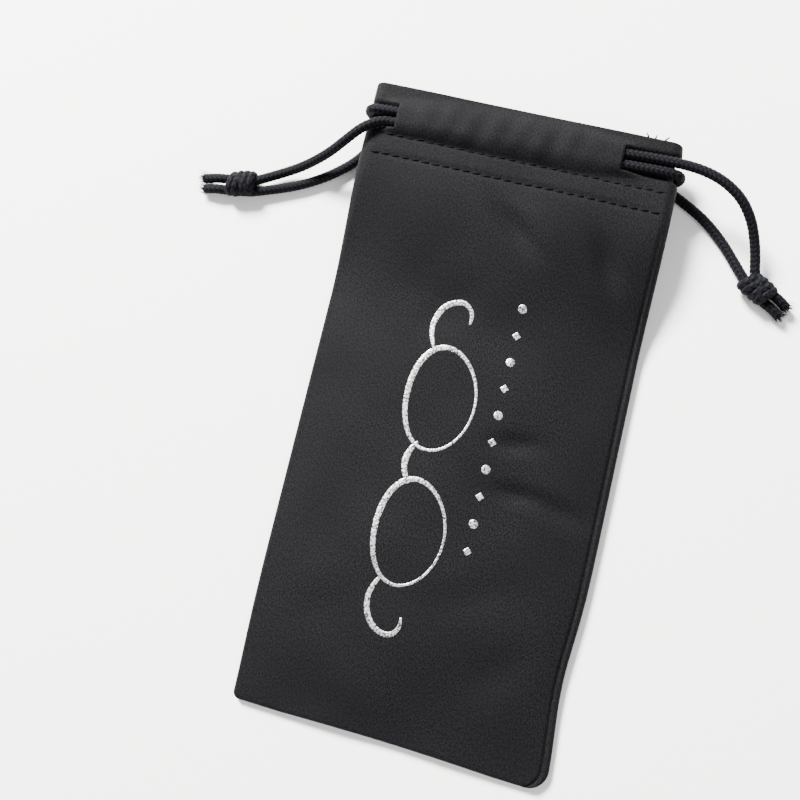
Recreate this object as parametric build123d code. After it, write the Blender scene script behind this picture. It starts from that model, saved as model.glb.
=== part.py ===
from build123d import *
import math
import os

# Soft drawstring pouch for glasses, lying flat on its back. Millimetres.
# +X is across the pouch, +Y runs towards its mouth, +Z is up from the table.
# The origin is in the middle of the pouch, on the table.

# ---- driving dimensions ----
pouch_width = 90.0
pouch_length = 180.0
cloth = 0.5  # thickness of one layer of microfibre
body_thickness = 6.6  # the empty pouch, table to front, where it is thickest
bottom_slack = 0.3  # at the closed end, over its four layers of cloth
edge_thickness = 3.0  # at the long edges of the body
taper_run = 28.0  # over which the body thins towards the closed end
halfway_thickness = 5.3  # in the middle of that run
crown_share = 0.6  # of the pouch's width, the part where the front is highest
mouth_gap = 4.6  # between the two inner faces of the hem
hem_depth = 22.5  # from the top fold down to the hem's raw edge
upper_row_depth = 15.0  # from the top fold down to the upper row of stitches
lower_row_depth = 21.0  # from the top fold down to the lower row
cord_diameter = 2.8
cord_slack = 0.1  # between a cord and the cloth that it lies on
tunnel_room = 0.15  # between the cords and the cloth over them
tail_room = 0.3  # between a cord that passes under the mouth and the one above it
cords_depth = 8.8  # from the top fold down to the middle between the two cords
cord_gap = 0.4  # between the left drawcord and the right one, which lies above it
seam_allowance = 8.0  # turned in along the side and the bottom
right_corner_radius = 6.0
left_corner_radius = 2.0
neck_run = 33.0  # length over which the back panel rises to the hem
neck_straight = 10.0  # stretch below the hem where the front is at full height
allowance_start = 1.0  # from the bottom allowance up to the side one
allowance_reach = 0.2  # how far the side allowance is let into the side fold

# Holes where a cord leaves its tunnel, measured in from the pouch's edge.
front_left_hole = 8.7
front_right_hole = 16.5
back_left_hole = 11.5
back_right_hole = 21.0

stitch_pitch = 3.0
stitch_length = 2.1
thread = 0.35
thread_proud = 0.15  # how far a stitch stands off the cloth
side_seam_inset = 1.8
bottom_seam_inset = 1.8

foil = 0.1  # thickness of the pressed foil
foil_stroke = 1.7
lens_width = 31.0
lens_height = 21.0
side_stroke = 0.85  # share of that stroke along the lenses' long sides
stroke_shift = 0.1  # share of it by which a lens is thinner below than above
bridge_gap = 7.0
bridge_x = 3.4  # where the bridge meets the lenses, left of the emblem's centre line
bridge_bow = 2.4  # how far it bows further left
temple_x = 5.0  # where a temple leaves its lens, left of the centre line
temple_overlap = 2.0  # how far it starts inside the lens's outer edge
temple_length = 13.0
temple_bow = 1.0
curl_width = 6.0
curl_drop = 3.5
emblem_x = -6.5  # centre line of the emblem
emblem_y = -14.0
dot_count = 10
dot_size = 2.6
dot_pitch = 7.6
dot_x = 10.6
dot_y = 1.0

knot_length = 9.0
knot_width = 7.6
knot_height = 6.2
knot_rounding = 2.6
knot_lift = 3.15  # middle of a knot, off the table

# ---- sizes that follow ----
half_width = pouch_width / 2
mouth_y = pouch_length / 2
bottom_y = -pouch_length / 2
hem_y = mouth_y - hem_depth
cord_radius = cord_diameter / 2
facing_inner = mouth_gap / 2
facing_outer = facing_inner + cloth
casing_outer = facing_outer + cloth
cord_level = casing_outer + cord_slack + cord_radius  # from the mouth's middle
cord_spacing = cord_diameter + cord_gap
arch_bulge = (cord_spacing / 2) ** 2 / (2 * cord_level)  # the arch is higher between the cords
tunnel_outer = cord_level + cord_radius + arch_bulge + tunnel_room + cloth
# One cord passes under the mouth, which stands that much off the table.
mouth_z = cord_level + cord_radius + cord_diameter + tail_room
front_cord_z = mouth_z + cord_level
back_cord_z = mouth_z - cord_level
tunnel_y = mouth_y - cords_depth
low_cord_y = tunnel_y - cord_spacing / 2
high_cord_y = tunnel_y + cord_spacing / 2
tunnel_half_span = upper_row_depth - cords_depth
fold_x = half_width - casing_outer  # centre of the folded edge at the mouth

# Outer sections of the pouch's body: (y, underside, radius of the edge, top).
edge_radius = edge_thickness / 2
bottom_thickness = 4 * cloth + bottom_slack
bottom_radius = bottom_thickness / 2
mouth_low = mouth_z - casing_outer
mouth_high = mouth_z + casing_outer
rise_start = hem_y - neck_run
body_sections = [
    (bottom_y, 0.0, bottom_radius, bottom_thickness),
    (bottom_y + taper_run / 2, 0.0, edge_radius, halfway_thickness),
    (bottom_y + taper_run, 0.0, edge_radius, body_thickness),
    (rise_start, 0.0, edge_radius, body_thickness),
    (
        hem_y - neck_straight,
        mouth_low * (1 - neck_straight / neck_run),
        casing_outer - (casing_outer - edge_radius) * neck_straight / neck_run,
        mouth_high,
    ),
    (hem_y, mouth_low, casing_outer, mouth_high),
]


on_base = (Align.CENTER, Align.CENTER, Align.MIN)


def half_profile(y, low, radius, top, inset, side):
    """Edges of half a section, front (1) or back (-1), from the left tip to the right one."""
    edge = half_width - radius
    flat = crown_share * half_width
    r = radius - inset
    middle = low + radius
    diagonal = r * math.sqrt(0.5)
    shoulder = middle + side * r
    crown = top - inset if side > 0 else shoulder
    bend = middle + side * diagonal
    points = [(-edge, y, shoulder), (-flat, y, crown), (flat, y, crown), (edge, y, shoulder)]
    edges = [ThreePointArc((-edge - r, y, middle), (-edge - diagonal, y, bend), points[0])]
    edges += [Line(first, second) for first, second in zip(points, points[1:])]
    edges.append(ThreePointArc(points[-1], (edge + diagonal, y, bend), (edge + r, y, middle)))
    return [edge.edge() for edge in edges]


def band_wire(section, side, outset=0.0, depth=cloth):
    """Closed section of one panel, or of a film that lies on it."""
    outer = half_profile(*section, -outset, side)
    inner = half_profile(*section, depth - outset, side)
    ends = [Line(outer[0] @ 0, inner[0] @ 0).edge(), Line(outer[-1] @ 1, inner[-1] @ 1).edge()]
    return Wire(outer + inner + ends)


def panel(side):
    """Front (1) or back (-1) of the folded sheet, from the bottom up to the hem."""
    solid = Solid.make_loft([band_wire(s, side) for s in body_sections], ruled=True)
    return solid & plan_prism()


def plan_prism():
    """The pouch's outline seen from above, with its two rounded corners."""
    block = Box(2 * half_width, pouch_length, 4 * mouth_z)
    corners = block.edges().filter_by(Axis.Z).group_by(Axis.Y)[0].sort_by(Axis.X)
    block = fillet(corners[0], left_corner_radius)
    corners = block.edges().filter_by(Axis.Z).group_by(Axis.Y)[0].sort_by(Axis.X)
    return fillet(corners[-1], right_corner_radius)


def split_height(y):
    """Height of the side fold, where front and back meet, at a place along Y."""
    for first, second in zip(body_sections, body_sections[1:]):
        if y <= second[0]:
            break
    share = (y - first[0]) / (second[0] - first[0])
    start = first[1] + first[2]
    return start + share * (second[1] + second[2] - start)


def mouth_ring(half_thickness):
    """A filled stadium across the mouth, from the hem's raw edge to the fold."""
    inner = half_thickness - cloth
    centre_y = (hem_y + mouth_y) / 2
    block = Box(2 * fold_x, hem_depth, 2 * half_thickness)
    hollow = Box(2 * fold_x, hem_depth, 2 * inner)
    for side in (-1, 1):
        place = Pos(side * fold_x, 0, 0) * Rot(90, 0, 0)
        block += place * Cylinder(half_thickness, hem_depth)
        hollow += place * Cylinder(inner, hem_depth)
    return Pos(0, centre_y, mouth_z) * (block - hollow)


def tunnel(left_x, right_x):
    """The arched cloth over the cords between two holes, drawn on the front."""
    rise = tunnel_outer - casing_outer
    radius = (tunnel_half_span**2 + rise**2) / (2 * rise)
    length = right_x - left_x
    middle_x = (left_x + right_x) / 2
    along_x = Pos(middle_x, tunnel_y, mouth_z + tunnel_outer - radius) * Rot(0, 90, 0)
    arch = along_x * Cylinder(radius, length) - along_x * Cylinder(radius - cloth, length)
    keep = Box(length, 4 * tunnel_half_span, radius, align=on_base)
    return arch & (Pos(middle_x, tunnel_y, mouth_z + facing_outer) * keep)


def casing(left_x, right_x):
    """Outer layer of the hem on the front: flat at its edges, arched over the cords."""
    slot = Box(right_x - left_x, 2 * tunnel_half_span - cloth, 4 * cloth, align=on_base)
    place = Pos((left_x + right_x) / 2, tunnel_y, mouth_z + facing_outer)
    return (mouth_ring(casing_outer) & front_side()) - place * slot + tunnel(left_x, right_x)


def front_side():
    """Everything in front of the mouth's middle plane."""
    return Pos(0, 0, mouth_z) * Box(2 * pouch_width, 2 * pouch_length, 4 * mouth_z, align=on_base)


def turned_over(shape):
    """The same shape on the other side of the mouth's middle plane."""
    return mirror(shape, about=Plane((0, 0, mouth_z), z_dir=(0, 0, 1)))


def strip(points, x_low, x_high):
    """A doubled seam allowance: a strip two layers thick that follows (y, z) points."""
    wires = []
    for y, z in points:
        low, high = z - cloth, z + cloth
        corners = [(x_low, y, low), (x_high, y, low), (x_high, y, high), (x_low, y, high)]
        wires.append(Wire(Polyline(corners, close=True).edges()))
    return Solid.make_loft(wires, ruled=True)


def row_of_stitches(places, size):
    """Separate stitches, one box at each place."""
    return Compound([Pos(*place) * Box(*size) for place in places])


def spread(low, high, pitch):
    """Evenly spaced places between two limits, near the wanted pitch."""
    count = max(2, round((high - low) / pitch))
    step = (high - low) / count
    return [low + (k + 0.5) * step for k in range(count)]


def hem_stitches(depth, front):
    """A row of stitches right through one side of the hem."""
    low, high = facing_inner - thread_proud, casing_outer + thread_proud
    z = mouth_z + (low + high) / 2 * (1 if front else -1)
    places = [(x, mouth_y - depth, z) for x in spread(-fold_x, fold_x, stitch_pitch)]
    return row_of_stitches(places, (stitch_length, thread, high - low))


def cord_tube(points):
    """A round cord along a route, its runs joined by tangent arcs."""
    points = [Vector(*p) for p in points]
    radii = []
    for before, at, after in zip(points, points[1:], points[2:]):
        turn = (at - before).get_angle(after - at)
        shorter = min((at - before).length, (after - at).length)
        radii.append(0.45 * shorter / math.tan(math.radians(turn) / 2))
    print("arc radii", " ".join(f"{r:.1f}" for r in radii))
    path = FilletPolyline(*points, radius=radii)
    start = Plane(path @ 0, z_dir=path % 0)
    tube = sweep(start * Circle(cord_radius), path=path)
    expected = math.pi * cord_radius**2 * path.length
    print(f"cord length {path.length:.1f}, volume over section times length {tube.volume / expected:.4f}")
    return tube


def loop_points(side, y):
    """Corners of a drawcord's loop where it goes round the pouch's far edge."""
    far = side * fold_x
    tangent = cord_level * math.tan(math.radians(22.5))
    shape = [
        (far + side * tangent, cord_level),
        (far + side * cord_level, tangent),
        (far + side * cord_level, -tangent),
        (far + side * tangent, -cord_level),
    ]
    return [(x, y, mouth_z + z) for x, z in shape]


def offsets(side, pairs):
    """Places told as (distance out from the pouch's edge, distance below its mouth, height)."""
    return [(side * (half_width + out), mouth_y - down, z) for out, down, z in pairs]


def knot(place, angle):
    """A tied overhand knot, as the lump that it fills."""
    block = Box(knot_length, knot_width, knot_height)
    block = fillet(block.edges(), knot_rounding)
    return Pos(*place) * Rot(0, 0, angle) * block


def cut_ends(pairs):
    """Short bare ends of cord beyond a knot, one straight piece between each two points."""
    ends = []
    for start, finish in pairs:
        axis = Vector(*finish) - Vector(*start)
        ends.append(Plane(start, z_dir=axis) * Cylinder(cord_radius, axis.length, align=on_base))
    return Compound(ends)


# ---- body: front and back of the folded sheet ----
nodes = {"front_panel": panel(1), "back_panel": panel(-1)}

# ---- hem: outer casing and inner facing, front and back ----
front_left_x, front_right_x = front_left_hole - half_width, half_width - front_right_hole
back_left_x, back_right_x = back_left_hole - half_width, half_width - back_right_hole
nodes["front_casing"] = casing(front_left_x, front_right_x)
nodes["back_casing"] = turned_over(casing(back_left_x, back_right_x))
nodes["front_hem_facing"] = mouth_ring(facing_outer) & front_side()
nodes["back_hem_facing"] = turned_over(nodes["front_hem_facing"])

# ---- seam allowances, inside along the right side and the bottom ----
side_x = half_width - cloth + allowance_reach
side_y_low = bottom_y + seam_allowance + allowance_start
side_rows = [side_y_low] + [s[0] for s in body_sections if s[0] > side_y_low]
side_points = [(y, split_height(y)) for y in side_rows]
nodes["side_seam_allowance"] = strip(side_points, side_x - seam_allowance, side_x)
bottom_points = [(y, split_height(y)) for y in (bottom_y + cloth / 2, bottom_y + seam_allowance)]
bottom_half = half_width - right_corner_radius - cloth
nodes["bottom_seam_allowance"] = strip(bottom_points, -bottom_half, bottom_half)

# ---- stitches ----
nodes["front_upper_stitches"] = hem_stitches(upper_row_depth, True)
nodes["front_lower_stitches"] = hem_stitches(lower_row_depth, True)
nodes["back_upper_stitches"] = hem_stitches(upper_row_depth, False)
nodes["back_lower_stitches"] = hem_stitches(lower_row_depth, False)
seam_height = 2 * cloth + 2 * thread_proud
side_stitch_x = half_width - side_seam_inset
side_places = [
    (side_stitch_x, y, split_height(y)) for y in spread(side_y_low, hem_y - cloth, stitch_pitch)
]
nodes["side_seam_stitches"] = row_of_stitches(side_places, (thread, stitch_length, seam_height))
bottom_stitch_y = bottom_y + bottom_seam_inset
bottom_places = [
    (x, bottom_stitch_y, split_height(bottom_stitch_y))
    for x in spread(-bottom_half, bottom_half, stitch_pitch)
]
nodes["bottom_seam_stitches"] = row_of_stitches(bottom_places, (stitch_length, thread, seam_height))

# ---- foil: a pair of glasses in one line, and a row of dots ----
film = [band_wire(s, 1, outset=foil, depth=foil) for s in body_sections]
foil_skin = Solid.make_loft(film, ruled=True)


def pressed(art):
    """Foil of the given plan shape, lying on the front of the pouch."""
    return extrude(art, 60.0) & foil_skin


def lens(y):
    """The rim of one lens, its long side along the pouch, thinner towards its lower edge."""
    outer = Ellipse(lens_height / 2, lens_width / 2)
    inner = Ellipse(lens_height / 2 - side_stroke * foil_stroke, lens_width / 2 - foil_stroke)
    return Pos(emblem_x, y) * (outer - Pos(stroke_shift * foil_stroke, 0) * inner)


def temple(side):
    """An arm that leaves the outer side of a lens and curls round at its end."""
    y = bridge_gap / 2 + lens_width - temple_overlap
    turn_x = curl_width / 2 - temple_x
    start = (-temple_x, side * y)
    bowed = (-temple_x - temple_bow, side * (y + temple_length / 2))
    turn = (turn_x, side * (y + temple_length))
    tip = (turn_x + curl_width, side * (y + temple_length - curl_drop))
    arm = ThreePointArc(start, bowed, turn)
    curl = TangentArc(turn, tip, tangent=arm % 1)
    return Pos(emblem_x, emblem_y) * trace([arm, curl], foil_stroke)


rim_middle = bridge_gap / 2 + lens_width / 2
bridge_end = bridge_gap / 2 + foil_stroke
bridge = ThreePointArc((-bridge_x, -bridge_end), (-bridge_x - bridge_bow, 0), (-bridge_x, bridge_end))
emblem = lens(emblem_y - rim_middle) + lens(emblem_y + rim_middle)
emblem += Pos(emblem_x, emblem_y) * trace(bridge, foil_stroke)
emblem += temple(1) + temple(-1)
nodes["foil_emblem"] = pressed(emblem)

dots = Sketch()
for k in range(dot_count):
    spot = Pos(dot_x, dot_y + (k - (dot_count - 1) / 2) * dot_pitch)
    shape = Circle(dot_size / 2) if k % 2 else Rot(0, 0, 45) * Rectangle(dot_size, dot_size)
    dots += spot * shape
nodes["foil_dots"] = pressed(dots)

# ---- left drawcord: both ends at the left, its loop round the right edge ----
left_front_end = offsets(
    -1,
    [
        (30.4, 32.0, 3.0),
        (23.6, 28.1, 2.1),
        (16.7, 25.1, 4.2),
        (9.5, 21.6, 8.6),
        (4.6, 18.0, 12.2),
        (0.2, 13.9, front_cord_z),
        (-4.4, 10.8, front_cord_z + 0.2),
    ],
)
left_back_end = offsets(
    -1,
    [
        (-7.6, 10.4, back_cord_z - 0.2),
        (-3.4, 12.6, 3.3),
        (-0.2, 16.3, 2.2),
        (2.9, 20.2, 1.5),
        (8.6, 25.1, 1.4),
        (15.3, 29.3, 1.4),
        (22.6, 32.4, 1.4),
        (30.4, 35.1, 1.9),
    ],
)
left_route = left_front_end + [(front_left_x, low_cord_y, front_cord_z)]
left_route += loop_points(1, low_cord_y)
left_route += [(back_left_x, low_cord_y, back_cord_z)] + left_back_end
nodes["left_cord"] = cord_tube(left_route)
nodes["left_knot"] = knot(offsets(-1, [(34.6, 33.8, knot_lift)])[0], 15.0)
left_cuts = offsets(-1, [(38.6, 33.2, 3.0), (46.6, 34.1, 1.8), (38.7, 36.3, 1.9), (45.8, 37.1, 1.5)])
nodes["left_cord_ends"] = cut_ends([left_cuts[:2], left_cuts[2:]])

# ---- right drawcord: both ends at the right, its loop round the left edge ----
right_front_end = offsets(
    1,
    [
        (25.9, 30.7, 3.6),
        (25.0, 26.6, 4.8),
        (23.3, 22.0, 7.0),
        (20.9, 17.8, 9.7),
        (16.8, 13.4, 12.4),
        (10.6, 9.8, 14.2),
        (3.6, 7.7, front_cord_z + 0.5),
        (-5.2, 7.1, front_cord_z + 0.1),
    ],
)
right_back_end = offsets(
    1,
    [
        (-16.8, 7.2, back_cord_z - 0.4),
        (-12.2, 7.3, 2.5),
        (-7.2, 8.4, 1.45),
        (-1.4, 11.2, 1.4),
        (4.7, 14.4, 1.4),
        (10.3, 17.8, 1.4),
        (16.0, 23.0, 1.4),
        (20.2, 28.1, 1.5),
        (23.6, 32.4, 1.9),
    ],
)
right_route = right_front_end + [(front_right_x, high_cord_y, front_cord_z)]
right_route += loop_points(-1, high_cord_y)
right_route += [(back_right_x, high_cord_y, back_cord_z)] + right_back_end
nodes["right_cord"] = cord_tube(right_route)
nodes["right_knot"] = knot(offsets(1, [(27.5, 34.7, knot_lift)])[0], -30.0)
right_cuts = offsets(1, [(31.3, 35.2, 2.8), (36.2, 38.0, 1.7), (29.9, 37.9, 1.9), (34.7, 40.7, 1.5)])
nodes["right_cord_ends"] = cut_ends([right_cuts[:2], right_cuts[2:]])

os.makedirs("parts", exist_ok=True)
for name, shape in nodes.items():
    export_step(shape, f"parts/{name}.step")
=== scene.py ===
import math

import bmesh
import bpy
import numpy as np
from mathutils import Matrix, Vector


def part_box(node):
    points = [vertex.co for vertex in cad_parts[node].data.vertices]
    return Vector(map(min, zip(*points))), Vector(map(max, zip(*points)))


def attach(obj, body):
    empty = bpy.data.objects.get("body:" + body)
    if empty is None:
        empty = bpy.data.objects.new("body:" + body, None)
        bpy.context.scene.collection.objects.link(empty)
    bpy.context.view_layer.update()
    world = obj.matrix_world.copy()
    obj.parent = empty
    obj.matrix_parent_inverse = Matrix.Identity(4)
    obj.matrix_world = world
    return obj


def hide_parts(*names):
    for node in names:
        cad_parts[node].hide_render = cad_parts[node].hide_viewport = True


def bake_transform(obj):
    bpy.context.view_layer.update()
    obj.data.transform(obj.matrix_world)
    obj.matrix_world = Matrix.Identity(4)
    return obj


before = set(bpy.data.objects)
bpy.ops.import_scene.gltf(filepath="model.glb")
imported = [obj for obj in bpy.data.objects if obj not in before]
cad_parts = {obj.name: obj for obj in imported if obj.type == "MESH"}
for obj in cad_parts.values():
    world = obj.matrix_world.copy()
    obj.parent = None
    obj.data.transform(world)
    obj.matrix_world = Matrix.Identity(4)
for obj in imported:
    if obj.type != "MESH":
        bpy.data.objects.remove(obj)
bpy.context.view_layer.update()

# Camera. It looks down on the pouch from about a forearm's height, a little tipped and turned, so the
# pouch lies across the view with its mouth at the top and its knotted cords reaching out to both sides.
camera_data = bpy.data.cameras.new("Camera")
camera_data.lens = 42
camera_data.sensor_width = 36
camera_data.clip_start = 0.005
camera = bpy.data.objects.new("Camera", camera_data)
camera.location = (0.01827, -0.02747, 0.26457)
camera.rotation_euler = [math.radians(a) for a in (8.212, 6.059, 13.597)]
bpy.context.scene.collection.objects.link(camera)
bpy.context.scene.camera = camera

# Drawcords. Two limp polyester cords, 2.8 mm thick, braided in slanting grains like a herringbone. Each
# is a loop run through the hem, out over the far edge of the mouth, and knotted where its two ends meet.
mm = 0.001
cord_diameter = 2.8 * mm
grain_columns = 8  # columns of slanting grains round a cord
grain_pitch = 1.35 * mm
grain_relief = 0.17 * mm
left_route = [
    (-0.0754, 0.0580, 0.0030),
    (-0.0686, 0.0619, 0.0021),
    (-0.0617, 0.0649, 0.0042),
    (-0.0545, 0.0684, 0.0086),
    (-0.0496, 0.0720, 0.0122),
    (-0.0452, 0.0761, 0.0141),
    (-0.0406, 0.0792, 0.0134),
    (-0.0363, 0.0796, 0.0126),
    (0.0280, 0.0796, 0.0126),
    (0.0431, 0.0796, 0.0129),
    (0.0452, 0.0796, 0.0108),
    (0.0452, 0.0796, 0.0078),
    (0.0431, 0.0796, 0.0057),
    (0.0280, 0.0796, 0.0060),
    (-0.0335, 0.0796, 0.0060),
    (-0.0374, 0.0796, 0.0055),
    (-0.0416, 0.0774, 0.0038),
    (-0.0448, 0.0737, 0.0024),
    (-0.0479, 0.0698, 0.0015),
    (-0.0536, 0.0649, 0.0014),
    (-0.0603, 0.0607, 0.0014),
    (-0.0676, 0.0576, 0.0014),
    (-0.0754, 0.0549, 0.0019),
]
right_route = [
    (0.0709, 0.0593, 0.0036),
    (0.0700, 0.0634, 0.0048),
    (0.0683, 0.0680, 0.0070),
    (0.0659, 0.0722, 0.0097),
    (0.0618, 0.0766, 0.0124),
    (0.0556, 0.0802, 0.0136),
    (0.0486, 0.0823, 0.0133),
    (0.0398, 0.0829, 0.0128),
    (0.0285, 0.0828, 0.0126),
    (-0.0280, 0.0828, 0.0126),
    (-0.0431, 0.0828, 0.0129),
    (-0.0452, 0.0828, 0.0108),
    (-0.0452, 0.0828, 0.0078),
    (-0.0431, 0.0828, 0.0057),
    (-0.0280, 0.0828, 0.0060),
    (0.0240, 0.0828, 0.0060),
    (0.0282, 0.0828, 0.0054),
    (0.0328, 0.0827, 0.0040),
    (0.0378, 0.0816, 0.0022),
    (0.0436, 0.0788, 0.0015),
    (0.0497, 0.0756, 0.0014),
    (0.0553, 0.0722, 0.0014),
    (0.0610, 0.0670, 0.0014),
    (0.0652, 0.0619, 0.0015),
    (0.0686, 0.0576, 0.0019),
]


def smooth_line(route, step=0.2 * mm):
    """Even steps along the smooth line that a cord takes through its route."""
    curve = bpy.data.curves.new("route", "CURVE")
    curve.dimensions = "3D"
    curve.resolution_u = 32
    spline = curve.splines.new("NURBS")
    spline.points.add(len(route) - 1)
    for point, place in zip(spline.points, route):
        point.co = (*place, 1.0)
    spline.order_u = 3
    spline.use_endpoint_u = True
    holder = bpy.data.objects.new("route", curve)
    mesh = bpy.data.meshes.new_from_object(holder)
    line = np.array([v.co[:] for v in mesh.vertices])
    bpy.data.objects.remove(holder)
    bpy.data.meshes.remove(mesh)
    bpy.data.curves.remove(curve)
    reach = np.r_[0, np.cumsum(np.linalg.norm(np.diff(line, axis=0), axis=1))]
    places = np.linspace(0, reach[-1], max(3, round(reach[-1] / step)))
    return np.stack([np.interp(places, reach, line[:, k]) for k in range(3)], 1)


def ring_faces(rings, around, ends=True):
    """Faces that join rings of corners one after another, and close the first and the last if asked."""
    ring, step = np.meshgrid(np.arange(rings - 1), np.arange(around), indexing="ij")
    here = ring * around + step
    there = ring * around + (step + 1) % around
    faces = np.stack([here, there, there + around, here + around], -1).reshape(-1, 4).tolist()
    if ends:
        faces += [list(range(around))[::-1], list(range((rings - 1) * around, rings * around))]
    return faces


def tube(line, radii):
    """Corners and faces of a closed tube: one ring of the given radii round each point of a line."""
    line = np.asarray(line, float)
    rings, around = radii.shape
    along = np.gradient(line, axis=0)
    along /= np.linalg.norm(along, axis=1)[:, None]
    side = np.cross(along[0], (0.31, 0.17, 0.94))
    sides = []
    for direction in along:
        side = side - direction * side.dot(direction)
        side = side / np.linalg.norm(side)
        sides.append(side)
    sides = np.array(sides)
    ups = np.cross(along, sides)
    turn = np.linspace(0, 2 * math.pi, around, endpoint=False)
    spokes = np.cos(turn)[None, :, None] * sides[:, None] + np.sin(turn)[None, :, None] * ups[:, None]
    corners = (line[:, None] + radii[:, :, None] * spokes).reshape(-1, 3)
    return corners, ring_faces(rings, around)


def braid(line, radius=cord_diameter / 2, around=40):
    """A tube with the grains of a braid raised on it, and how high each corner stands, from 0 to 1; the
    cord's colour follows it as painted shade between the grains.
    """
    line = np.asarray(line, float)
    reach = np.r_[0, np.cumsum(np.linalg.norm(np.diff(line, axis=0), axis=1))][:, None]
    turn = (np.arange(around) / around * grain_columns)[None, :]
    column = np.floor(turn)
    across = turn - column - 0.5 + 0.5 / (around / grain_columns)
    slant = np.where(column % 2 == 0, 1.0, -1.0)
    grain = reach / grain_pitch + 0.55 * slant * across + 0.5 * (column % 4 > 1)
    height = np.abs(np.cos(math.pi * grain)) ** 0.7 * np.cos(math.pi * across * 0.86) ** 0.6
    corners, faces = tube(line, radius + grain_relief * (height - 0.7))
    return corners, faces, np.broadcast_to(height, (len(line), around)).reshape(-1)


def make_piece(name, parts, material, smooth=True):
    """One object made of tubes or braids, each told as its corners, its faces and how high they stand."""
    corners, faces, heights, first = [], [], [], 0
    for part in parts:
        corners.append(part[0])
        faces += [[first + k for k in face] for face in part[1]]
        heights.append(part[2] if len(part) > 2 else np.ones(len(part[0])))
        first += len(part[0])
    mesh = bpy.data.meshes.new(name)
    mesh.from_pydata(np.concatenate(corners).tolist(), [], faces)
    mesh.polygons.foreach_set("use_smooth", [smooth] * len(faces))
    mesh.attributes.new("raised", "FLOAT", "POINT").data.foreach_set("value", np.concatenate(heights))
    mesh.materials.append(material)
    mesh.update()
    piece = bpy.data.objects.new(name, mesh)
    bpy.context.scene.collection.objects.link(piece)
    return piece


def node_maker(material):
    """A short way to add a node to a material and set its values."""
    nodes, links = material.node_tree.nodes, material.node_tree.links

    def add(kind, values=(), **settings):
        node = nodes.new(kind)
        for key, value in settings.items():
            setattr(node, key, value)
        for key, value in dict(values).items():
            if hasattr(value, "is_linked") and hasattr(value, "links"):
                links.new(value, node.inputs[key])
            else:
                node.inputs[key].default_value = value
        return node

    return add


def new_material(name):
    """An empty material, its shader, and a short way to add nodes to it."""
    material = bpy.data.materials.new(name)
    material.use_nodes = True
    return material, material.node_tree.nodes["Principled BSDF"], node_maker(material)


def braided_cord_material():
    """Blue-black polyester with fine yarns along its grains: its own colour on the grains' backs, darkened to
    nearly black between them as painted shade.
    """
    material, shader, add = new_material("braided cord")
    raised = add("ShaderNodeAttribute", attribute_name="raised")
    place = add("ShaderNodeTexCoord")
    yarns = add("ShaderNodeTexNoise", {"Vector": place.outputs["Object"], "Scale": 3200.0, "Detail": 3.0})
    painted_shade = add("ShaderNodeMath", {0: raised.outputs["Fac"], 1: yarns.outputs["Fac"]}, operation="MULTIPLY")
    # Painted shade: the lower a corner stands between the grains, the nearer to black its colour.
    ramp = add("ShaderNodeValToRGB", {"Fac": painted_shade.outputs[0]})
    ramp.color_ramp.elements[0].position = 0.1
    ramp.color_ramp.elements[0].color = (0.0003, 0.0003, 0.0005, 1)
    ramp.color_ramp.elements[1].color = (0.0095, 0.0095, 0.0130, 1)
    ramp.color_ramp.elements[1].position = 0.62
    bump = add("ShaderNodeBump", {"Height": yarns.outputs["Fac"], "Strength": 0.5, "Distance": 0.00008})
    links = material.node_tree.links
    links.new(ramp.outputs["Color"], shader.inputs["Base Color"])
    links.new(bump.outputs["Normal"], shader.inputs["Normal"])
    shader.inputs["Roughness"].default_value = 0.7
    shader.inputs["Specular IOR Level"].default_value = 0.05
    shader.inputs["Sheen Weight"].default_value = 0.025
    shader.inputs["Sheen Roughness"].default_value = 0.4
    shader.inputs["Sheen Tint"].default_value = (0.5, 0.5, 0.58, 1)
    return material


cord_material = braided_cord_material()

# Knots and cut ends. Both ends of a cord are tied together in one tight overhand knot, and are cut off
# about a knot's length beyond it, where the braid frays into fine fibres. Five closed turns of cord round
# the two strands stand for the wraps.
fray = np.random.default_rng(11)
fibres_at_cut = 130
knot_reach, knot_rise = 2.35 * mm, 1.65 * mm
knot_turns = [  # place along the knot in mm, tip, size, and where the turn starts
    (-2.9, 0.45, 0.90, 0.4),
    (-1.0, 0.60, 1.04, 0.0),
    (1.1, 0.50, 1.02, 0.9),
    (2.9, 0.30, 0.88, 1.6),
    (0.1, -1.10, 1.00, 2.2),
]


def knot_wraps(name, heading):
    """The cord's turns round the knot, each tipped its own way, inside the space that the knot fills."""
    low, high = (np.array(corner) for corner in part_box(name))
    centre = (low + high) / 2
    forward = np.array((math.cos(heading), math.sin(heading), 0))
    across = np.array((-math.sin(heading), math.cos(heading), 0))
    up = np.array((0, 0, 1.0))
    parts = []
    for offset, tip, size, start in knot_turns:
        angle = np.linspace(start, start + 2 * math.pi * 1.02, 90)[:, None]
        line = centre + forward * (offset * mm + tip * knot_reach * np.cos(angle) * 0.8)
        line = line + size * (knot_reach * np.cos(angle) * across + knot_rise * np.sin(angle) * up)
        parts.append(braid(line))
    return parts


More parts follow.
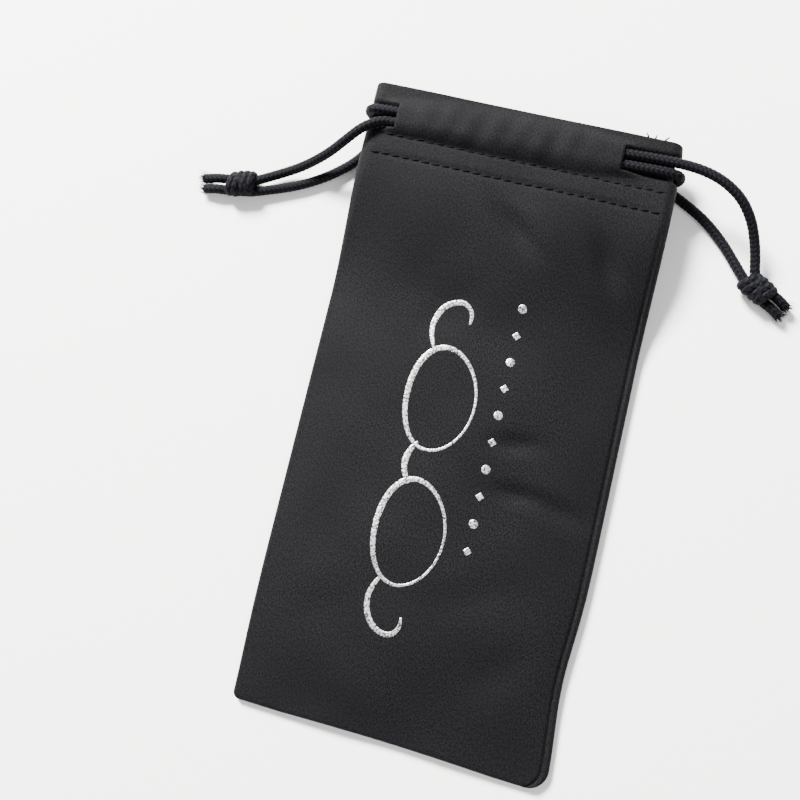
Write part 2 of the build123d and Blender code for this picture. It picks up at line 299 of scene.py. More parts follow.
def bare_end(start, finish):
    """A short straight end of cord and the fibres that splay from its cut."""
    start, finish = np.array(start), np.array(finish)
    share = np.linspace(0, 1, 42)[:, None]
    sag = np.array((0, 0, 0.0006)) * np.sin(math.pi * share)
    line = start + (finish - start) * share + sag
    parts = [braid(line)]
    ahead = (finish - start) / np.linalg.norm(finish - start)
    for _ in range(fibres_at_cut):
        spot = fray.normal(0, 0.6 * mm, 3)
        spot -= ahead * spot.dot(ahead)
        spread = 0.5 * spot / (1.3 * mm) + fray.normal(0, 0.16, 3)
        length = fray.uniform(0.5, 2.3) * mm
        t = np.linspace(0, 1, 6)[:, None]
        fibre = finish - ahead * 0.5 * mm + spot + length * (ahead * t + 0.8 * spread * t**1.6)
        fibre[:, 2] = np.maximum(fibre[:, 2], 0.1 * mm)
        radii = np.linspace(0.085, 0.03, 6)[:, None] * mm * np.ones((1, 5))
        corners, faces = tube(fibre, radii)
        parts.append((corners, faces, np.full(len(corners), fray.uniform(0.3, 1.0))))
    return parts


def drawcord(side, route, heading, ends):
    """One whole drawcord: its braided loop, its knot and its two cut ends."""
    body = side + "_drawcord"
    line = smooth_line(route)
    cord = make_piece(side + "_braided_cord", [braid(line)], cord_material)
    tied = knot_wraps(side + "_knot", heading)
    for (before, tail), (start, _) in zip(((line[8], line[0]), (line[-9], line[-1])), ends):
        onward = tail + (tail - before) * 1.4
        t = np.linspace(0, 1, 30)[:, None]
        tied.append(braid((1 - t) ** 2 * tail + 2 * t * (1 - t) * onward + t**2 * np.array(start)))
    knot = make_piece(side + "_tied_knot", tied, cord_material)
    cut = make_piece(side + "_frayed_ends", bare_end(*ends[0]) + bare_end(*ends[1]), cord_material)
    for piece, node in ((cord, "_cord"), (knot, "_knot"), (cut, "_cord_ends")):
        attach(piece, body)
        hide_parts(side + node)
    length = np.linalg.norm(np.diff(line, axis=0), axis=1).sum()
    print(side, "cord length", round(length, 4))


drawcord(
    "left",
    left_route,
    heading=math.radians(15),
    ends=[
        ((-0.0836, 0.0568, 0.0030), (-0.0916, 0.0559, 0.0018)),
        ((-0.0837, 0.0537, 0.0019), (-0.0908, 0.0529, 0.0015)),
    ],
)
drawcord(
    "right",
    right_route,
    heading=math.radians(-30),
    ends=[
        ((0.0763, 0.0548, 0.0028), (0.0812, 0.0520, 0.0017)),
        ((0.0749, 0.0521, 0.0019), (0.0797, 0.0493, 0.0015)),
    ],
)

# Pouch cloth. One piece of thin black microfibre is folded in half, seamed inside along its right side and
# its bottom, turned, and hemmed at the mouth. The hem is a tunnel for the cords, with two holes in front
# and two behind. Here it is a tube that turns over at the mouth, cut in two halves down its middle.
cloth = 0.45
panel_low = np.array(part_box("front_panel")[0]) / mm
casing_low, casing_high = (np.array(corner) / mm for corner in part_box("front_casing"))
back_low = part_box("back_casing")[0][2] / mm
facing_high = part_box("front_hem_facing")[1][2] / mm
half_width = 45.0
mouth_y = casing_high[1]
bottom_y = panel_low[1]
hem_y = casing_low[1]
mouth_z = (casing_high[2] + back_low) / 2
hem_half = facing_high - mouth_z + 0.5  # from the middle of the mouth to the outer face of the hem
tunnel_y = 81.2  # midway between the two cords
cord_bed = 1.65  # how deep the cords press the hem's layers in
tunnel_rise = 1.95  # how far they push its outer layer out
seam_x = 42.9  # where the side seam draws a line on the front
right_corner, left_corner = 6.0, 2.0  # how far the bottom corners are rounded
hem_turn = 0.5  # radius of the fold at the mouth
foot_turn = 1.1  # and of the one at the bottom
upper_row, lower_row = mouth_y - 15.0, mouth_y - 21.0  # rows of stitches through the hem
front_holes = (-36.3, 28.5)
back_holes = (-33.5, 24.0)
shear = -0.0285  # the pouch lies a little askew: its left side is pushed up
fold_half = half_width - hem_half


def soft_steps(y, places, values, width=7.0):
    """Values between given places, with the corners of the line rounded off."""
    shifts = np.linspace(-1, 1, 15) * width
    return np.mean([np.interp(y + s, places, values) for s in shifts], axis=0)


def section(y):
    """Height of the back off the table, radius of the side folds, and height of the front."""
    low = soft_steps(y, (33.0, 64.0), (0.0, mouth_z - hem_half))
    radius = soft_steps(y, (bottom_y + 8, -50.0, 34.0, 60.0), (1.1, 1.5, 1.5, hem_half))
    top = soft_steps(
        y, (bottom_y + 1, bottom_y + 16, -58.0, 30.0, 58.0), (2.3, 5.0, 6.3, 6.4, mouth_z + hem_half), 6.0
    )
    blend = np.clip((y - 60.0) / 8.0, 0, 1)
    return low, radius + (hem_half - radius) * blend, top + (mouth_z + hem_half - top) * blend


def bed(y):
    """How far the cords press the hem in, where they lie against it."""
    return cord_bed * np.exp(-(np.abs((y - tunnel_y) / 3.7) ** 8))


def tunnel(x, y, side, covers):
    """How far the hem's outer layer is pushed out or in by the two cords. Between the holes it runs over
    them. Beyond a hole it lets them out, and lies raised beside them only near the hole."""
    left, right = front_holes if side > 0 else back_holes
    inside = np.minimum(x - left, right - x)
    opening = np.clip(inside / 16.0, 0, 1) * (1.0 if covers else 0.0)
    below = 5.6 + (0.7 + 0.0285 * x) * opening
    above = 6.2 + 2.4 * opening
    off = y - tunnel_y
    share = np.abs(off) / np.where(off < 0, below, above)
    power = np.where(off < 0, 3.6 - 1.0 * opening, 3.4 - 1.0 * opening)
    bulge = np.clip(1 - share**power, 0, 1) ** 1.5
    ripple = np.sin(0.42 * x + 1.0 + 0.3 * y) * np.sin(0.17 * x + 0.4) + 0.35 * np.sin(0.9 * x - 0.2 * y)
    over = bulge * (tunnel_rise + opening * (0.25 + 0.35 * ripple))
    if covers:
        return over
    past = np.clip(-inside, 0, None)
    span = fold_half - np.where(x < 0, -left, right)
    raised = np.clip(1 - (past / span) ** 2, 0, 1) * np.exp(-((past / 6.0) ** 2))
    return np.where(np.abs(off) < 3.3, -bed(y), raised * over - (1 - raised) * bed(y))


def dent(x, y, at, size, turn, depth):
    """One soft dent, longer one way than the other."""
    c, s = math.cos(math.radians(turn)), math.sin(math.radians(turn))
    along = ((x - at[0]) * c + (y - at[1]) * s) / size[0]
    over = (-(x - at[0]) * s + (y - at[1]) * c) / size[1]
    return -depth * np.exp(-(along**2 + over**2))


front_dents = [
    ((4.0, 56.0), (9.0, 3.4), -38, 1.3),
    ((31.0, 52.0), (8.0, 3.2), -58, 1.2),
    ((17.0, -2.0), (7.0, 2.6), 8, 0.75),
    ((20.0, -15.5), (6.0, 2.4), 0, 0.8),
    ((33.0, -17.0), (9.0, 3.0), -12, 1.0),
    ((14.0, -46.0), (11.0, 5.5), 25, 0.5),
    ((-24.0, -58.0), (14.0, 7.0), 35, 0.5),
    ((28.0, -62.0), (12.0, 6.0), 40, 0.6),
    ((-10.0, 30.0), (16.0, 5.0), 50, 0.35),
]


def unrest(x, y, side):
    """Slow waves and dents of cloth that has been handled and laid down."""
    slow = 0.30 * np.sin(0.085 * x + 0.045 * y + 0.6) * np.sin(0.07 * y - 0.05 * x + 1.1)
    slow = slow + 0.13 * np.sin(0.19 * x - 0.12 * y) + 0.09 * np.sin(0.31 * y + 0.13 * x + 2.0)
    if side < 0:
        return 0.35 * slow
    slow = slow * (1 - 0.6 * np.clip((y - 66.0) / 8.0, 0, 1))
    return slow + 1.35 * sum(dent(x, y, *each) for each in front_dents)


def edge_drift(x, y):
    """How far the outline strays from a straight one: the right side is drawn in above its corner."""
    right = np.clip(x / half_width, 0, 1) ** 2
    left = np.clip(-x / half_width, 0, 1) ** 2
    drift = -1.6 * np.exp(-(((y + 62.0) / 17.0) ** 2)) * right
    drift -= 0.9 * np.exp(-(((y - 92.0) / 6.0) ** 2)) * right
    drift += 0.8 * np.exp(-(((y + 92.0) / 22.0) ** 2)) * left
    return drift


def corner_pull(x, y):
    """Rounds the two bottom corners, the right one more than the left."""

    def cut_back(radius):
        past = np.clip(bottom_y + radius - y, 0, radius)
        return radius - np.sqrt(np.clip(radius**2 - past**2, 0, None))

    right, left = cut_back(right_corner), cut_back(left_corner)
    return np.where(x > 0, x * (1 - right / half_width), x * (1 - left / half_width))


def laid(x, y, z):
    """A place on the cloth, in metres, once the pouch has been laid down a little askew."""
    x = corner_pull(x, y)
    bow = 0.5 * np.clip(1 - (x / 30.0) ** 2, 0, None) * np.exp(-(((y - bottom_y) / 14.0) ** 2))
    return np.stack(np.broadcast_arrays(x + edge_drift(x, y), y + shear * x + bow, z), -1) * mm


def closing(y):
    """Share of the pouch's thickness left as front and back turn into each other at the bottom."""
    return np.sqrt(np.clip(1 - (np.clip(bottom_y + foot_turn - y, 0, foot_turn) / foot_turn) ** 2, 0, 1))


def seam_groove(x, y):
    """The line that the side seam draws just inside the right edge, below the hem."""
    return 0.45 * np.exp(-(((x - seam_x) / 0.5) ** 2)) * np.clip((66.0 - y) / 3.0, 0, 1)


def flat_part(across, y, inset, side, covers=True, lift=0.0):
    """Cloth between the two side folds: across runs from -1 to 1, and side is 1 in front, -1 behind."""
    low, radius, top = section(y)
    x = across * (half_width - radius)
    middle = low + radius
    edge = 1 - np.abs(across) ** 6
    crown = (top - low - 2 * radius) * (1 - np.abs(across) ** 2.6) if side > 0 else 0
    rows = 0.32 * np.exp(-(((y - upper_row) / 0.55) ** 2)) + 0.42 * np.exp(-(((y - lower_row) / 0.8) ** 2))
    beat = np.sin(2.1 * x + 0.5) * (0.6 + 0.4 * np.sin(0.37 * x)) + 0.6 * np.sin(0.8 * x + 0.3 * y)
    pucker = 0.035 * beat * np.exp(-(((y - 72.0) / 4.5) ** 2))
    plan_y = y + shear * x
    push = np.where(inset > 0, -bed(plan_y), tunnel(x, plan_y, side, covers))
    quiet = 1 - np.clip(np.abs(push) / 1.2, 0, 1)
    swell = unrest(x, y, side) * edge * quiet
    if side < 0:
        swell = -np.maximum(swell, -0.2 - low) * 0.5
    sewn = (pucker - rows) * edge * quiet * (inset < 0.5)
    outside = radius - inset + lift + push - seam_groove(x, y) + sewn
    z = middle + side * outside * closing(y) + (crown + swell) * closing(y)
    return laid(x, y, z)


def side_fold(turn, y, inset, side):
    """Cloth round a side fold, from the front (half a turn up) to the back (half a turn down)."""
    low, radius, _ = section(y)
    centre = side * (half_width - radius)
    reach = radius - inset - bed(y + shear * centre)
    x = centre + side * reach * np.cos(turn)
    return laid(x, y, low + radius + (reach - seam_groove(x, y)) * np.sin(turn) * closing(y))


def grid(surface, columns, rows, flip, rolled=False):
    """Corners and faces of one stretch of cloth, column by column and row by row."""
    places = surface(columns[None, :], rows[:, 0][:, None], rows[:, 1][:, None])
    count = len(columns)
    row, column = np.meshgrid(np.arange(len(rows) - 1), np.arange(count - 1), indexing="ij")
    here = row * count + column
    faces = np.stack([here, here + 1, here + count + 1, here + count], -1).reshape(-1, 4)
    weave = places[:, :, 0]
    if rolled:
        steps = np.hypot(np.diff(places[:, :, 0], axis=1), np.diff(places[:, :, 2], axis=1))
        weave = weave[:, :1] + np.pad(np.cumsum(steps, axis=1), ((0, 0), (1, 0)))
    run = np.r_[0, np.cumsum(np.hypot(np.diff(rows[:, 0]), np.diff(rows[:, 1])))] * mm
    flat = np.stack([weave, np.broadcast_to(run[:, None], weave.shape)], -1)
    return places.reshape(-1, 3), (faces[:, ::-1] if flip else faces), flat.reshape(-1, 2)


def cloth_rows():
    """Places up the outside, over the mouth and down inside, and how far in from the outer face each is."""
    quarter, half = np.linspace(0, math.pi / 2, 6), np.linspace(0, math.pi, 8)
    turn_under = [(bottom_y + foot_turn - foot_turn * math.cos(a), 0.0) for a in quarter]
    foot = [(y, 0.0) for y in np.arange(bottom_y + 1.4, bottom_y + 8, 0.5)]
    outside = [(y, 0.0) for y in np.arange(bottom_y + 8.2, 60.0, 0.95)]
    hem = [(y, 0.0) for y in np.arange(60.4, mouth_y - 0.7, 0.6)]
    top = [(mouth_y - hem_turn + hem_turn * math.sin(a), hem_turn - hem_turn * math.cos(a)) for a in half]
    inside = [(y, 1.0) for y in np.arange(mouth_y - 1.5, hem_y, -1.0)]
    return np.array(turn_under + foot + outside + hem + top + inside)


def columns_between(first, last, pitch=0.78):
    """Even places across the cloth, from one stop to the next, about a pitch in mm apart."""
    return np.linspace(first, last, max(2, round((last - first) * fold_half / pitch) + 1))


rows = cloth_rows()
stops = sorted({-1.0, 0.0, 1.0, *(x / fold_half for x in front_holes + back_holes)})
stretches = []
for side in (1, -1):
    left, right = (x / fold_half for x in (front_holes if side > 0 else back_holes))
    for first, last in zip(stops, stops[1:]):
        over_cords = first >= left - 1e-6 and last <= right + 1e-6
        pieces = columns_between(first, last)
        if last == 1.0:
            pieces = np.unique(np.r_[pieces[pieces < 0.94], np.linspace(0.945, 1.0, 9)])

        def stretch(across, y, inset, side=side, covers=over_cords):
            return flat_part(across, y, inset, side, covers)

        stretches.append(grid(stretch, pieces, rows, flip=side < 0))
for side in (1, -1):
    turn = np.linspace(math.pi / 2, -math.pi / 2, 21)

    def fold(turn, y, inset, side=side):
        return side_fold(turn, y, inset, side)

    stretches.append(grid(fold, turn, rows, flip=side < 0, rolled=True))


def sewn_cloth():
    """All stretches joined into one thin skin, with the weave's own flat coordinates."""
    corners = np.concatenate([s[0] for s in stretches])
    flat = np.concatenate([s[2] for s in stretches])
    firsts = np.cumsum([0] + [len(s[0]) for s in stretches])
    faces = np.concatenate([s[1] + first for s, first in zip(stretches, firsts)])
    mesh = bpy.data.meshes.new("cloth")
    mesh.from_pydata(corners.tolist(), [], faces.tolist())
    layer = mesh.uv_layers.new(name="weave")
    index = np.zeros(len(mesh.loops), int)
    mesh.loops.foreach_get("vertex_index", index)
    layer.data.foreach_set("uv", flat[index].reshape(-1))
    joined = bmesh.new()
    joined.from_mesh(mesh)
    bmesh.ops.remove_doubles(joined, verts=joined.verts, dist=0.02 * mm)
    joined.to_mesh(mesh)
    joined.free()
    mesh.polygons.foreach_set("use_smooth", [True] * len(mesh.polygons))
    return mesh


def half_of_cloth(skin, side, name):
    """The skin's right (1) or left (-1) half, thickened inwards. Its shading runs on over the middle."""
    half = skin.copy()
    half.name = name
    normals = np.zeros(3 * len(half.vertices))
    half.vertices.foreach_get("normal", normals)
    half.attributes.new("skin_normal", "FLOAT_VECTOR", "POINT").data.foreach_set("vector", normals)
    cut = bmesh.new()
    cut.from_mesh(half)
    away = [face for face in cut.faces if face.calc_center_median().x * side < 0]
    bmesh.ops.delete(cut, geom=away, context="FACES")
    cut.to_mesh(half)
    cut.free()
    outer_count = len(half.vertices)
    holder = bpy.data.objects.new(name, half)
    bpy.context.scene.collection.objects.link(holder)
    thick = holder.modifiers.new("thickness", "SOLIDIFY")
    thick.thickness = cloth * mm
    thick.offset = -1
    thick.use_rim = True
    bpy.context.view_layer.update()
    solid = bpy.data.meshes.new_from_object(holder.evaluated_get(bpy.context.evaluated_depsgraph_get()))
    holder.modifiers.clear()
    holder.data = solid
    normals = np.zeros(3 * len(solid.vertices))
    solid.attributes["skin_normal"].data.foreach_get("vector", normals)
    normals = normals.reshape(-1, 3)
    normals[outer_count:] *= -1
    far = np.array([abs(v.co.x) > 0.1 * mm for v in solid.vertices])
    normals[far] = 0
    solid.attributes.remove(solid.attributes["skin_normal"])
    solid.normals_split_custom_set_from_vertices(normals.tolist())
    return holder


def follow_pull(piece):
    """Bakes a soft piece's placement into its mesh; it stays put and does not follow a drawcord."""
    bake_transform(piece)


def microfibre_material():
    """Black brushed microfibre: a fine slanting grain, a faint nap, and cloudy patches where it is worn."""
    material, shader, add = new_material("black microfibre")
    weave = add("ShaderNodeUVMap", uv_map="weave")
    grain = add("ShaderNodeTexNoise", {"Vector": weave.outputs[0], "Scale": 3300.0, "Detail": 3.0})
    slanted = add(
        "ShaderNodeMapping", {"Vector": weave.outputs[0], "Rotation": (0, 0, 0.9), "Scale": (1, 0.55, 1)}
    )
    twill = add(
        "ShaderNodeTexNoise", {"Vector": slanted.outputs[0], "Scale": 2700.0, "Detail": 2.0, "Roughness": 0.6}
    )
    cloudy = add("ShaderNodeTexNoise", {"Vector": weave.outputs[0], "Scale": 38.0, "Detail": 4.0})
    both = add("ShaderNodeMath", {0: grain.outputs["Fac"], 1: twill.outputs["Fac"]}, operation="ADD")
    speckle = add(
        "ShaderNodeMapRange",
        {"Value": both.outputs[0], "From Min": 0.84, "From Max": 1.16, "To Min": 0.0, "To Max": 1.0},
    )
    ramp = add("ShaderNodeValToRGB", {"Fac": speckle.outputs[0]})
    ramp.color_ramp.elements[0].color = (0.0002, 0.0002, 0.0003, 1)
    ramp.color_ramp.elements[1].color = (0.0082, 0.0080, 0.0095, 1)
    worn = add(
        "ShaderNodeMapRange",
        {"Value": cloudy.outputs["Fac"], "From Min": 0.35, "From Max": 0.7, "To Min": 0.0, "To Max": 0.45},
    )
    tint = add(
        "ShaderNodeMix",
        {"Factor": worn.outputs[0], 6: ramp.outputs["Color"], 7: (0.0028, 0.0027, 0.0031, 1)},
        data_type="RGBA",
    )
    nap = add("ShaderNodeMapRange", {"Value": cloudy.outputs["Fac"], "To Min": 0.64, "To Max": 0.80})
    bump = add("ShaderNodeBump", {"Height": both.outputs[0], "Strength": 0.8, "Distance": 0.00016})
    links = material.node_tree.links
    links.new(tint.outputs[2], shader.inputs["Base Color"])
    links.new(nap.outputs[0], shader.inputs["Roughness"])
    links.new(bump.outputs["Normal"], shader.inputs["Normal"])
    shader.inputs["Specular IOR Level"].default_value = 0.055
    shader.inputs["Sheen Weight"].default_value = 0.025
    shader.inputs["Sheen Roughness"].default_value = 0.4
    shader.inputs["Sheen Tint"].default_value = (0.62, 0.63, 0.68, 1)
    return material


cloth_material = microfibre_material()
whole_cloth = sewn_cloth()
whole_cloth.materials.append(cloth_material)
cloth_nodes = [f"{face}_{part}" for part in ("panel", "casing", "hem_facing") for face in ("front", "back")]
for side, name in ((-1, "pouch_cloth_left"), (1, "pouch_cloth_right")):
    piece = half_of_cloth(whole_cloth, side, name)
    follow_pull(piece)
    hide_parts(*cloth_nodes)

# Seam allowances. The cloth left over past the seams lies doubled inside the pouch, along its right side
# and along its bottom, cut plain with no binding.


def allowance(name, places, node):
    """A doubled strip of cloth along a seam, told as rows of places over its width."""
    upper = places + np.array((0, 0, cloth * mm))
    lower = places - np.array((0, 0, cloth * mm))
    ring = np.concatenate([upper, lower[:, ::-1]], axis=1)
    faces = ring_faces(*ring.shape[:2])
    piece = make_piece(name, [(ring.reshape(-1, 3), faces)], allowance_material, smooth=False)
    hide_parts(node)
    return piece


def plain_microfibre_material():
    """The same black microfibre where no weave coordinates are kept."""
    material, shader, add = new_material("black microfibre inside")
    place = add("ShaderNodeTexCoord")
    grain = add("ShaderNodeTexNoise", {"Vector": place.outputs["Object"], "Scale": 2600.0, "Detail": 3.0})
    ramp = add("ShaderNodeValToRGB", {"Fac": grain.outputs["Fac"]})
    ramp.color_ramp.elements[0].color = (0.005, 0.005, 0.0065, 1)
    ramp.color_ramp.elements[1].color = (0.022, 0.022, 0.025, 1)
    bump = add("ShaderNodeBump", {"Height": grain.outputs["Fac"], "Strength": 0.4, "Distance": 0.00012})
    links = material.node_tree.links
    links.new(ramp.outputs["Color"], shader.inputs["Base Color"])
    links.new(bump.outputs["Normal"], shader.inputs["Normal"])
    shader.inputs["Roughness"].default_value = 0.75
    shader.inputs["Sheen Weight"].default_value = 0.3
    return material


allowance_material = plain_microfibre_material()
side_run = np.arange(-80.0, 66.0, 2.0)[:, None]
side_low, side_radius, _ = section(side_run)
side_across = np.linspace(36.8, 44.0, 8)[None, :]
wander = 0.15 * np.sin(0.4 * side_run + 0.5 * side_across)
strip = laid(side_across, side_run + 0 * side_across, side_low + side_radius + wander)
side_allowance = allowance("side_seam_strip", strip, "side_seam_allowance")
follow_pull(side_allowance)
foot_run = np.arange(-38.0, 38.1, 2.0)[:, None]
foot_across = np.linspace(bottom_y + 1.2, bottom_y + 8.0, 8)[None, :]
foot_low, foot_radius, _ = section(foot_across)
strip = laid(foot_run + 0 * foot_across, foot_across + 0 * foot_run, foot_low + foot_radius + 0 * foot_run)
foot_allowance = allowance("bottom_seam_strip", strip, "bottom_seam_allowance")
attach(foot_allowance, "pouch")

# Stitches. Black polyester thread, in two lockstitched rows through the hem and one hidden row in each
# seam. Each stitch is a short stretch of twisted thread that dips into the cloth at both ends.
stitch_length = 2.5
stitch_pitch = 3.0
thread_radius = 0.15  # in the seams, where the thread is pulled into the cloth
hem_thread_radius = {upper_row: 0.22, lower_row: 0.30}  # fuller on the hem, most of all on the lower row
stitch_dip = 0.30
seam_inset = 1.8  # from the seams to the bottom fold
hand = np.random.default_rng(5)


def thread_material():
    """Black thread, darker than the cloth, twisted from fine yarns."""
    material, shader, add = new_material("black thread")
    place = add("ShaderNodeTexCoord")
    twist = add(
        "ShaderNodeTexWave",
        {"Vector": place.outputs["Object"], "Scale": 900.0, "Distortion": 2.0},
        bands_direction="DIAGONAL",
    )
    ramp = add("ShaderNodeValToRGB", {"Fac": twist.outputs["Fac"]})
    ramp.color_ramp.elements[0].color = (0.0003, 0.0003, 0.0005, 1)
    ramp.color_ramp.elements[1].color = (0.003, 0.003, 0.004, 1)
    bump = add("ShaderNodeBump", {"Height": twist.outputs["Fac"], "Strength": 0.4, "Distance": 0.00005})
    links = material.node_tree.links
    links.new(ramp.outputs["Color"], shader.inputs["Base Color"])
    links.new(bump.outputs["Normal"], shader.inputs["Normal"])
    shader.inputs["Roughness"].default_value = 0.7
    shader.inputs["Specular IOR Level"].default_value = 0.05
    return material


black_thread = thread_material()


def stitch(places, thickness=thread_radius):
    """One stitch: a thread through the given places, sunk into the cloth at both ends."""
    share = np.linspace(0, 1, len(places))
    swell = np.clip(np.sin(math.pi * share), 0.25, 1) ** 0.4
    radii = thickness * mm * swell[:, None] * np.ones((1, 8))
    return tube(places, radii)


def hem_row(y, side, half):
    """One row of stitches through the hem's front or back, on the outer face and on the inner one."""
    stitches = []
    count = round(2 * fold_half / stitch_pitch)
    step = 2 * fold_half / count
    left, right = front_holes if side > 0 else back_holes
    dip = -stitch_dip * np.abs(np.linspace(-1, 1, 7)) ** 3
    slant = 0.16 * np.linspace(-1, 1, 7)
    for k in range(count):
        middle = -fold_half + (k + 0.5) * step
        if middle * half < 0:
            continue
        length = stitch_length * hand.uniform(0.95, 1.15)
        drift = hand.uniform(-0.12, 0.12)
        x = middle + np.linspace(-0.5, 0.5, 7) * length
        covers = left < middle < right
        for inset in (0.0, 1.0):
            row_y = y + drift * (inset < 0.5) + slant
            places = flat_part(x / fold_half, row_y, np.full(7, inset), side, covers, lift=dip + 0.10)
            stitches.append(stitch(places, hem_thread_radius[y]))
    return stitches


for half, word in ((-1, "left"), (1, "right")):
    for y, name in ((upper_row, "upper"), (lower_row, "lower")):
        stitches = hem_row(y, 1, half) + hem_row(y, -1, half)
        piece = make_piece(f"hem_{name}_stitches_{word}", stitches, black_thread)
        follow_pull(piece)
        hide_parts(f"front_{name}_stitches", f"back_{name}_stitches")

seam_stitches = []
along = np.linspace(-0.5, 0.5, 5) * stitch_length
lift = cloth + 0.05 - 0.3 * np.linspace(-1, 1, 5) ** 4
for y in np.arange(-79.5, 65.0, stitch_pitch):
    low, radius, _ = section(np.array(y))
    run = y + along
    for side in (1, -1):
        seam_stitches.append(stitch(laid(np.full(5, 43.0), run, low + radius + side * lift)))
piece = make_piece("side_seam_thread", seam_stitches, black_thread)
follow_pull(piece)
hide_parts("side_seam_stitches")

seam_stitches = []
low, radius, _ = section(np.array(bottom_y + seam_inset))
for x in np.arange(-37.5, 38.0, stitch_pitch):
    run = x + along
    for side in (1, -1):
        seam_stitches.append(stitch(laid(run, np.full(5, bottom_y + seam_inset), low + radius + side * lift)))
piece = make_piece("bottom_seam_thread", seam_stitches, black_thread)
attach(piece, "pouch")
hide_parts("bottom_seam_stitches")

# Loose threads. Three short snipped ends of thread stand on the mouth's fold, near its right corner.
snips = []
for x, lean in ((34.6, -0.5), (36.6, 0.15), (39.4, 0.7)):
    t = np.linspace(0, 1, 9)[:, None]
    root = flat_part(np.array(x / fold_half), np.array(mouth_y), np.array(0.5), 1)
    away = np.array((lean, 1.0, 0.25)) * t + np.array((0.5 * lean, 0, 0)) * t**2
    radii = np.linspace(0.27, 0.15, 9)[:, None] * mm * np.ones((1, 8))
    snips.append(tube(root + away * 1.0 * mm, radii))
piece = make_piece("loose_threads", snips, black_thread)
follow_pull(piece)

# Foil print. A pair of glasses drawn in one thick-and-thin line, and a row of small dots beside it, hot
# pressed onto the front in silver foil that has crackled a little with the cloth.
foil_lift = 0.11
lens_half_width, lens_half_height = 9.7, 14.7
lens_offset = 19.0  # from the middle of the emblem to the middle of a lens
dot_radius = 1.3
dot_count = 10
press = np.random.default_rng(3)


def foil_material():
    """Silver foil: bright, broken by fine crackle, with pinholes where the cloth shows through."""
    material, shader, add = new_material("silver foil")
    place = add("ShaderNodeTexCoord")
    crackle = add("ShaderNodeTexNoise", {"Vector": place.outputs["Object"], "Scale": 1900.0, "Detail": 4.0})
    flakes = add("ShaderNodeTexVoronoi", {"Vector": place.outputs["Object"], "Scale": 1500.0})
    ramp = add("ShaderNodeValToRGB", {"Fac": crackle.outputs["Fac"]})
    ramp.color_ramp.elements[0].position = 0.38
    ramp.color_ramp.elements[0].color = (0.035, 0.035, 0.038, 1)
    ramp.color_ramp.elements[1].position = 0.58
    ramp.color_ramp.elements[1].color = (0.66, 0.64, 0.64, 1)
    rough = add("ShaderNodeMapRange", {"Value": flakes.outputs["Distance"], "To Min": 0.28, "To Max": 0.6})
    dimples = {"Height": flakes.outputs["Distance"], "Strength": 0.55, "Distance": 0.00012}
    bump = add("ShaderNodeBump", dimples)
    links = material.node_tree.links
    links.new(ramp.outputs["Color"], shader.inputs["Base Color"])
    links.new(rough.outputs[0], shader.inputs["Roughness"])
    links.new(bump.outputs["Normal"], shader.inputs["Normal"])
    shader.inputs["Metallic"].default_value = 0.85
    return material


silver_foil = foil_material()
emblem_low, emblem_high = (np.array(corner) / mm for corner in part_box("foil_emblem"))
dots_low, dots_high = (np.array(corner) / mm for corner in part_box("foil_dots"))
emblem_x, emblem_y = -6.5, (emblem_low[1] + emblem_high[1]) / 2


def on_front(x, y, lift):
    """A place on the front of the pouch, a little off the cloth."""
    low, radius, _ = section(y)
    across = x / (half_width - radius)
    return flat_part(across, y, np.zeros_like(x), 1, lift=lift)


def foil_line(points, widths, closed=False):
    """A raised line of foil with slightly ragged edges, following points on the front."""
    points = np.asarray(points, float)
    ahead = np.gradient(points, axis=0)
    if closed:
        ahead = (np.roll(points, -1, 0) - np.roll(points, 1, 0)) / 2
    ahead /= np.linalg.norm(ahead, axis=1)[:, None]
    normal = np.stack([-ahead[:, 1], ahead[:, 0]], 1)
    ragged = 1 + press.normal(0, 0.045, (len(points), 2))
    edge = np.array((-0.5, -0.4, -0.14, 0.14, 0.4, 0.5, 0.0))
    lift = np.array((-0.06, 0.8, 1.0, 1.0, 0.8, -0.06, -0.9)) * foil_lift
    reach = edge[None, :] * widths[:, None] * np.where(edge[None, :] < 0, ragged[:, :1], ragged[:, 1:])
    spots = points[:, None] + reach[:, :, None] * normal[:, None]
    places = on_front(spots[..., 0], spots[..., 1], lift[None, :] + 0 * reach)
    count, around = places.shape[:2]
    last = count if closed else count - 1
    row, step = np.meshgrid(np.arange(last), np.arange(around), indexing="ij")
    here, there = row * around + step, row * around + (step + 1) % around
    ahead_here, ahead_there = (here + around) % (count * around), (there + around) % (count * around)
    faces = np.stack([here, ahead_here, ahead_there, there], -1).reshape(-1, 4).tolist()
    if not closed:
        faces += [list(range(around)), list(range((count - 1) * around, count * around))[::-1]]
    return places.reshape(-1, 3), faces


def lens_line(middle):
    """The rim of one lens, heavy where the line comes down and fine where it goes up."""
    angle = np.linspace(0, 2 * math.pi, 300, endpoint=False)
    x = emblem_x + lens_half_width * np.cos(angle) + 0.5 * np.cos(2 * angle)
    y = middle + lens_half_height * np.sin(angle)
    widths = 1.25 + 0.55 * np.cos(angle - 2.6)
    return foil_line(np.stack([x, y], 1), widths, closed=True)


def stroke(points, thick):
    """One stroke through a few places, drawn as a smooth line with tapering ends."""
    line = smooth_line([(x * mm, y * mm, 0.0) for x, y in points], step=0.3 * mm)[:, :2] / mm
    share = np.linspace(0, 1, len(line))
    return foil_line(line, thick * (0.35 + 0.75 * np.sin(math.pi * share) ** 0.6))


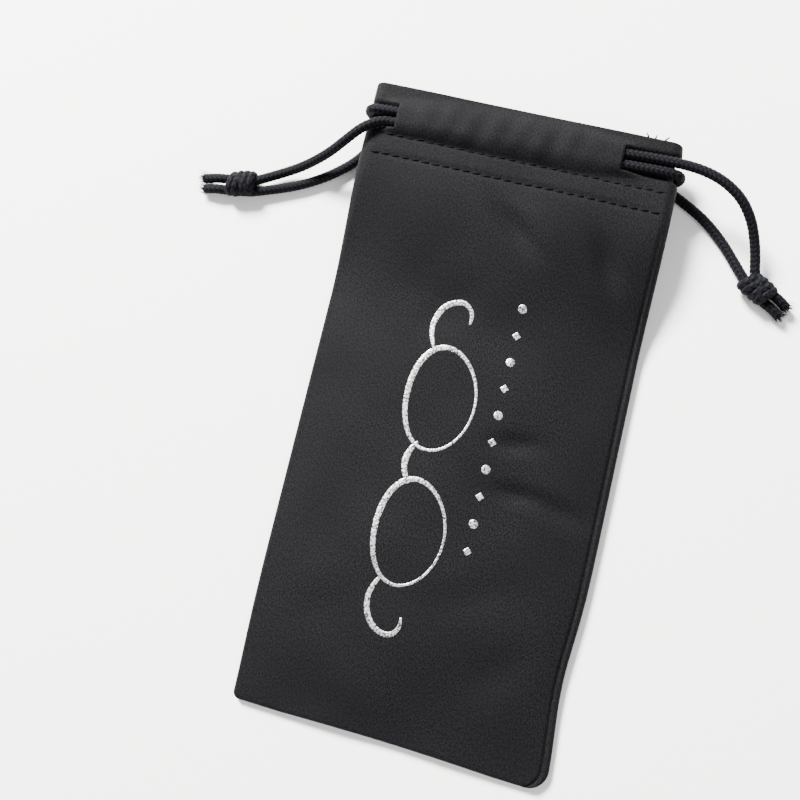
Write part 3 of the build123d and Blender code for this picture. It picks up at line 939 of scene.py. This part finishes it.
strokes = [lens_line(emblem_y - lens_offset), lens_line(emblem_y + lens_offset)]
bridge = ((-3.0, -6.0), (-7.6, 0), (-3.0, 6.0))
strokes.append(stroke([(emblem_x + x, emblem_y + y) for x, y in bridge], 1.7))
for side in (-1, 1):
    arm = ((-4.2, 31.8), (-6.6, 36.0), (-6.6, 41.0), (-4.4, 45.6), (0.6, 47.8), (4.2, 44.8), (3.6, 41.6))
    strokes.append(stroke([(emblem_x + x, emblem_y + side * y) for x, y in arm], 1.6))
emblem = make_piece("foil_glasses", strokes, silver_foil)
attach(emblem, "pouch")
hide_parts("foil_emblem")


def foil_dot(x, y, corners):
    """A small round or four-cornered dot, built as rings that rise to a flat top."""
    around = 32
    angle = np.linspace(0, 2 * math.pi, around, endpoint=False)
    radius = np.full(around, dot_radius)
    if corners:
        radius = dot_radius / (np.abs(np.cos(angle)) + np.abs(np.sin(angle)))
    ragged = radius * (1 + press.normal(0, 0.02, around))
    parts = []
    for share, lift in ((0.0, -0.9), (1.0, -0.06), (0.92, 0.8), (0.6, 1.0), (0.0, 1.0)):
        ring_x, ring_y = x + share * ragged * np.cos(angle), y + share * ragged * np.sin(angle)
        parts.append(on_front(ring_x, ring_y, np.full(around, lift * foil_lift)))
    return np.concatenate(parts), ring_faces(len(parts), around, ends=False)


dot_x = (dots_low[0] + dots_high[0]) / 2
dot_places = np.linspace(dots_low[1] + dot_radius, dots_high[1] - dot_radius, dot_count)
dots = [foil_dot(dot_x, y, corners=k % 2 == 0) for k, y in enumerate(dot_places)]
dotted = make_piece("foil_dot_row", dots, silver_foil)
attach(dotted, "pouch")
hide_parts("foil_dots")

# Table. A plain white surface, matt, that only catches the pouch's soft shadow.
table_reach, table_level = 3, -0.0002
table_sides = ((-1, -1), (1, -1), (1, 1), (-1, 1))
table_corners = [(x * table_reach, y * table_reach, table_level) for x, y in table_sides]
floor_mesh = bpy.data.meshes.new("table")
floor_mesh.from_pydata(table_corners, [], [(0, 1, 2, 3)])
floor_material, floor_shader, _ = new_material("white table")
floor_shader.inputs["Base Color"].default_value = (0.97, 0.96, 0.95, 1)
floor_shader.inputs["Roughness"].default_value = 0.9
floor_mesh.materials.append(floor_material)
floor = bpy.data.objects.new("table", floor_mesh)
bpy.context.scene.collection.objects.link(floor)

# Light. A large soft lamp at the upper left, a weaker one at the right, and a pale room all round.


def soft_lamp(name, place, size, power, tint):
    """A square lamp that points at the pouch."""
    lamp_data = bpy.data.lights.new(name, "AREA")
    lamp_data.size = size
    lamp_data.energy = power
    lamp_data.color = tint
    lamp = bpy.data.objects.new(name, lamp_data)
    lamp.location = place
    lamp.rotation_euler = Vector((-place[0], -place[1], -place[2])).to_track_quat("-Z", "Y").to_euler()
    bpy.context.scene.collection.objects.link(lamp)


soft_lamp("window", (-0.90, 1.02, 1.0), 0.45, 250.0, (1.0, 0.985, 0.97))
soft_lamp("fill", (0.7, -0.5, 0.9), 0.9, 9.0, (0.96, 0.98, 1.0))
world = bpy.data.worlds.new("room")
world.use_nodes = True
world.node_tree.nodes["Background"].inputs["Color"].default_value = (1.0, 1.0, 1.0, 1)
world.node_tree.nodes["Background"].inputs["Strength"].default_value = 0.6
bpy.context.scene.world = world
